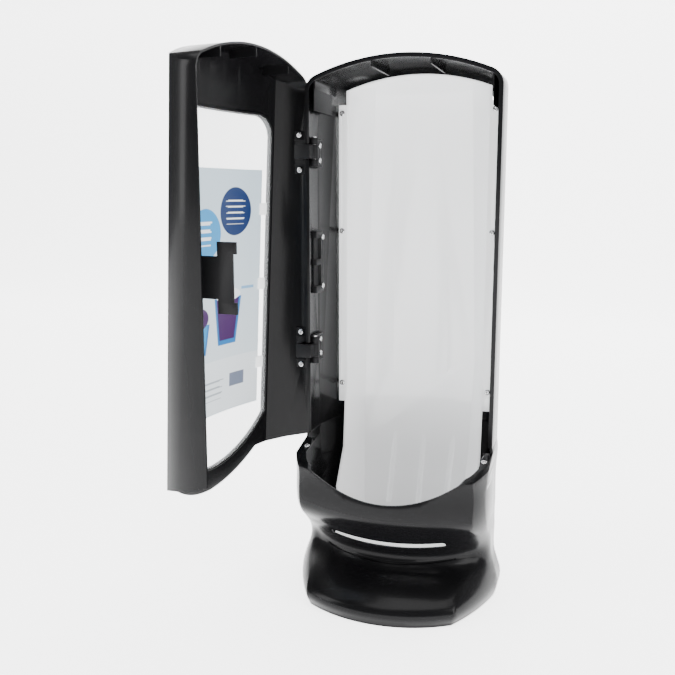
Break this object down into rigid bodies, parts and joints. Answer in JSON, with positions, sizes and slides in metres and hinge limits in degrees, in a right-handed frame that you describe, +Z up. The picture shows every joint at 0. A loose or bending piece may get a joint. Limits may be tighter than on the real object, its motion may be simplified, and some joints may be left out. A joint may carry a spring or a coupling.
{
  "type": "countertop napkin dispenser tower",
  "caption": "Tall free-standing napkin dispenser tower with an arched top, a hinged window door, a clear rear pane and liner, a display card and a curved slot above a flared foot",
  "frame": {"origin": "on the table, below the middle of the plane where the door meets the tower", "axes": "+Z up, the front of the tower faces -Y, +X is to the right seen from the front"},
  "size_m": [0.3357, 0.3603, 0.638],
  "materials": {
    "black_shell": "satin black moulded plastic",
    "clear_pane": "clear moulded pane",
    "clear_liner": "clear moulded tray, slightly hazy",
    "dark_fitting": "fine-textured black moulded plastic",
    "white_fitting": "plain white moulded plastic",
    "steel": "bright zinc-plated steel",
    "rubber_pad": "soft rubber",
    "printed_card": "coated printed card"
  },
  "bodies": {
    "tower": {"rear_shell": "black_shell", "rear_window": "clear_pane", "magazine_liner": "clear_liner", "liner_screws": "steel", "base_housing": "black_shell", "base_floor": "dark_fitting", "floor_screws": "steel", "nose_screws": "steel", "foot_pads": "rubber_pad", "throat_plate": "white_fitting", "hinge_bracket_upper": "dark_fitting", "hinge_bracket_lower": "dark_fitting", "hinge_pin_upper": "steel", "hinge_pin_lower": "steel", "hinge_bracket_screws": "steel", "latch_keeper_left": "dark_fitting", "latch_keeper_right": "dark_fitting", "keeper_screws": "steel"},
    "door": {"door_shell": "black_shell", "door_window": "clear_pane", "card_clips": "clear_liner", "hinge_arm_upper": "dark_fitting", "hinge_arm_lower": "dark_fitting", "hinge_arm_screws": "steel", "latch_mount": "dark_fitting", "latch_pin": "steel"},
    "card": {"ad_card": "printed_card"},
    "latch": {"latch_arm": "dark_fitting"}
  },
  "joints": [
    {"name": "door_hinge", "type": "hinge", "parent": "tower", "child": "door", "pos_m": [-0.107, 0.01, 0.4], "axis": [0, 0, 1], "range_deg": [-4, 98]},
    {"name": "latch_flex", "type": "hinge", "parent": "door", "child": "latch", "pos_m": [-0.17047, -0.19012, 0.399], "axis": [0, 0, 1], "range_deg": [0, 6], "stiffness_Nm_per_rad": 0.8},
    {"name": "card_slide", "type": "slide", "parent": "door", "child": "card", "axis": [0.0475, -0.0067, 0.9988], "range_m": [0, 0.06]}
  ]
}
